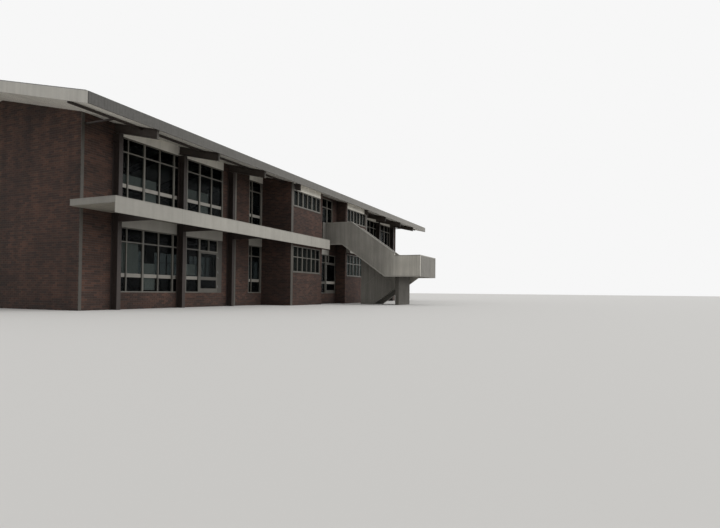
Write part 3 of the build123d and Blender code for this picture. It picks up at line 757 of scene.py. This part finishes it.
# canopies: a folded metal edge on the front boards, and a drip strip at their foot
canopyEdge = {"lip": 0.008, "cover": 0.028, "down": 0.02, "thick": 0.005, "drip": 0.018, "dripOut": 0.005,
              "dripUnder": 0.003, "returnHeight": 0.22, "within": 0.01}


def edgeCanopies():
    corners, faces = [], []
    endFace = building["canopyEnd"] - canopyEdge["within"]
    frontFace = building["canopyFront"] + canopyEdge["within"]
    for outward in (left, right, ahead):
        axis = 0 if outward[0] else 1
        sign = outward[axis]
        for ring in facesToward("canopy_fascias", outward):
            place = ring[0][axis]
            if (axis == 1 and place > frontFace) or (axis == 0 and abs(place) < endFace):
                continue
            us, top = [co[1 - axis] for co in ring], max(co.z for co in ring)
            foot = min(co.z for co in ring) if axis == 1 else top - canopyEdge["returnHeight"]
            fold = (top - canopyEdge["down"], top + canopyEdge["thick"],
                    canopyEdge["lip"], canopyEdge["cover"])
            drip = (foot - canopyEdge["dripUnder"], foot + canopyEdge["drip"],
                    canopyEdge["dripOut"], sunk)
            for z0, z1, reach, cover in (fold, drip):
                low, high = [0, 0, z0], [0, 0, z1]
                low[axis], high[axis] = sorted((place - sign * cover, place + sign * reach))
                low[1 - axis], high[1 - axis] = min(us), max(us)
                addBlock(corners, faces, low, high)
    return pieceFrom("canopyEdges", corners, faces, finishes["canopy_board"])


edgeCanopies()

# sills under the rear windows and the block windows
sill = {"thick": 0.05, "reach": 0.04, "overlap": 0.03, "under": 0.001, "inWall": 0.01, "underFrame": 0.05}


def laySills():
    corners, faces = [], []
    places = [(low, high, back - sill["inWall"], back + sill["reach"])
              for low, high in solidsOf("rear_window_frames")]
    places += [(low, high, low[1] - sill["reach"], low[1] + sill["underFrame"])
               for low, high in blockWindows()]
    for low, high, y0, y1 in places:
        addBlock(corners, faces, (low[0] - sill["overlap"], y0, low[2] - sill["thick"]),
                 (high[0] + sill["overlap"], y1, low[2] - sill["under"]))
    return pieceFrom("windowSills", corners, faces, sillFinish)


laySills()
print("canopy edges and sills laid")

# upright cover strips on the brickwork beside the third columns, above and below the canopies
coverStrip = {"from": 7.15, "to": 7.27, "thick": 0.02, "canopyUnder": 3.66, "canopyOver": 3.88,
              "underRoof": 0.03}


def fitCoverStrips():
    corners, faces = [], []
    y0 = front - coverStrip["thick"]
    top = roofUnder(y0) - coverStrip["underRoof"]
    for side in (-1, 1):
        x0, x1 = sorted((side * coverStrip["from"], side * coverStrip["to"]))
        for z0, z1 in ((0, coverStrip["canopyUnder"]), (coverStrip["canopyOver"], top)):
            addBlock(corners, faces, (x0, y0, z0), (x1, front + sunk, z1))
    return pieceFrom("coverStrips", corners, faces, coverFinish)


fitCoverStrips()

# dark boards over the outer ends of the blocks' head panels, up to the roof beam
headEnds = {"thick": 0.009, "beamLine": 4.5, "underRoof": 0.03}


def coverHeadEnds():
    corners, faces = [], []
    for ring in facesToward("head_panels", ahead):
        y = ring[0].y
        y0 = y - headEnds["thick"]
        if onBlock(y):
            panelEnd = max((co.x for co in ring), key=abs)
            x0, x1 = sorted((panelEnd, math.copysign(headEnds["beamLine"], panelEnd)))
            addBlock(corners, faces, (x0, y0, min(co.z for co in ring)),
                     (x1, y + sunk, roofUnder(y0) - headEnds["underRoof"]))
    return pieceFrom("headEndBoards", corners, faces, headEndFinish)


coverHeadEnds()

# pale boards and blinds standing behind the glass
roomBoards = {"behind": 0.16, "thick": 0.02,  # then from, to, foot and top of each board above its floor
              "groundFloor": ((-14.1, -12.95, 0.75, 1.95), (-12.75, -12.1, 0.1, 1.2),
                              (-10.85, -9.8, 0.8, 1.3)),
              "upperFloor": ((-14.1, -12.1, 0.72, 1.15), (-12.75, -12.1, 0.05, 0.6),
                             (-10.85, -9.0, 0.75, 1.22), (-9.6, -9.0, 0.05, 0.6))}
blinds = {"behind": 0.16, "thick": 0.01, "aside": 0.06, "inside": 0.05}


def fitRoomBoards():
    corners, faces = [], []
    y0 = front + roomBoards["behind"]
    y1 = y0 + roomBoards["thick"]
    for storey in ("groundFloor", "upperFloor"):
        floor = building[storey]
        for x0, x1, foot, top in roomBoards[storey]:
            addBlock(corners, faces, (x0, y0, floor + foot), (x1, y1, floor + top))
    return pieceFrom("roomBoards", corners, faces, roomFinish)


def hangBlinds(name, finish, bright):  # only the far block's lower window has bright ones
    corners, faces = [], []
    for low, high in blockWindows():
        farLower = low[0] > 0 and low[2] < building["upperFloor"]
        if farLower == bright:
            y0 = high[1] + blinds["behind"]
            addBlock(corners, faces, (low[0] + blinds["aside"], y0, low[2] + blinds["inside"]),
                     (high[0] - blinds["aside"], y0 + blinds["thick"], high[2] - blinds["inside"]))
    return pieceFrom(name, corners, faces, finish)


fitRoomBoards()
hangBlinds("blockBlinds", blindFinish, False)
hangBlinds("farBlockBlinds", roomFinish, True)
print("room boards and blinds fitted")

# floor, backdrop and lights
studio = {"reach": 600, "floor": (0.62, 0.61, 0.59), "floorRoughness": 0.95,
          "sky": 0.62, "backdrop": (0.93, 0.93, 0.93)}
lamps = {"softKey": {"strength": 1.2, "angle": 35, "toward": (-0.35, 0.8, -0.75)},
         "lowFill": {"strength": 0.8, "angle": 25, "toward": (0.1, 0.97, -0.2)}}


def makeStage():
    mesh = bpy.data.meshes.new("studioFloor")
    r = studio["reach"]
    mesh.from_pydata([(-r, -r, 0), (r, -r, 0), (r, r, 0), (-r, r, 0)], [], [(0, 1, 2, 3)])
    floor = bpy.data.objects.new("studioFloor", mesh)
    bpy.context.scene.collection.objects.link(floor)
    material, _, shader = blank("studioFloorPaint")
    shader.inputs["Base Color"].default_value = (*studio["floor"], 1)
    shader.inputs["Roughness"].default_value = studio["floorRoughness"]
    mesh.materials.append(material)


def makeSky():
    world = bpy.data.worlds.new("studioLight")
    bpy.context.scene.world = world
    world.use_nodes = True
    tree = world.node_tree
    tree.nodes.clear()
    output = add(tree, "ShaderNodeOutputWorld")
    light, backdrop = add(tree, "ShaderNodeBackground"), add(tree, "ShaderNodeBackground")
    for node, colour, strength in ((light, (1, 1, 1), studio["sky"]), (backdrop, studio["backdrop"], 1)):
        node.inputs["Color"].default_value = (*colour, 1)
        node.inputs["Strength"].default_value = strength
    path = add(tree, "ShaderNodeLightPath")
    seen = calc(tree, "MAXIMUM", path.outputs["Is Camera Ray"], path.outputs["Is Transmission Ray"])
    seen = calc(tree, "MAXIMUM", seen, path.outputs["Is Glossy Ray"])  # glass and metal show the backdrop too
    mix = add(tree, "ShaderNodeMixShader")
    tree.links.new(seen, mix.inputs[0])
    tree.links.new(light.outputs[0], mix.inputs[1])
    tree.links.new(backdrop.outputs[0], mix.inputs[2])
    tree.links.new(mix.outputs[0], output.inputs[0])


def makeLamp(name, strength, angle, toward):
    lamp = bpy.data.lights.new(name, "SUN")
    lamp.energy = strength
    lamp.angle = math.radians(angle)
    holder = bpy.data.objects.new(name, lamp)
    holder.rotation_euler = Vector(toward).to_track_quat("-Z", "Y").to_euler()
    bpy.context.scene.collection.objects.link(holder)


makeStage()
makeSky()
for name, lamp in lamps.items():
    makeLamp(name, **lamp)

# the photograph's view
view = {"place": (-27.74, -18.636, 0.761), "yaw": 0.38996, "pitch": 0.01775, "roll": 0.00989,
        "focal": 496.03, "centre": (384, 283.55), "size": (720, 528), "sensor": 36, "farthest": 2000}


def makeCamera():
    yaw, pitch, roll = view["yaw"], view["pitch"], view["roll"]
    forward = Vector((math.cos(yaw) * math.cos(pitch), math.sin(yaw) * math.cos(pitch), math.sin(pitch)))
    level = Vector((math.sin(yaw), -math.cos(yaw), 0))
    upright = level.cross(forward)
    side = level * math.cos(roll) + upright * math.sin(roll)
    up = upright * math.cos(roll) - level * math.sin(roll)
    lens = bpy.data.cameras.new("photoCamera")
    lens.sensor_fit = "HORIZONTAL"
    wide, high = view["size"]
    lens.sensor_width = view["sensor"]
    lens.lens = view["sensor"] * view["focal"] / wide
    lens.shift_x = -(view["centre"][0] - wide / 2) / wide
    lens.shift_y = (view["centre"][1] - high / 2) / wide
    lens.clip_end = view["farthest"]
    camera = bpy.data.objects.new("photoCamera", lens)
    turn = Matrix((side, up, -forward)).transposed().to_4x4()
    camera.matrix_world = Matrix.Translation(Vector(view["place"])) @ turn
    bpy.context.scene.collection.objects.link(camera)
    bpy.context.scene.camera = camera


makeCamera()
bpy.context.scene.view_settings.view_transform = "Standard"
print("lights and camera set")
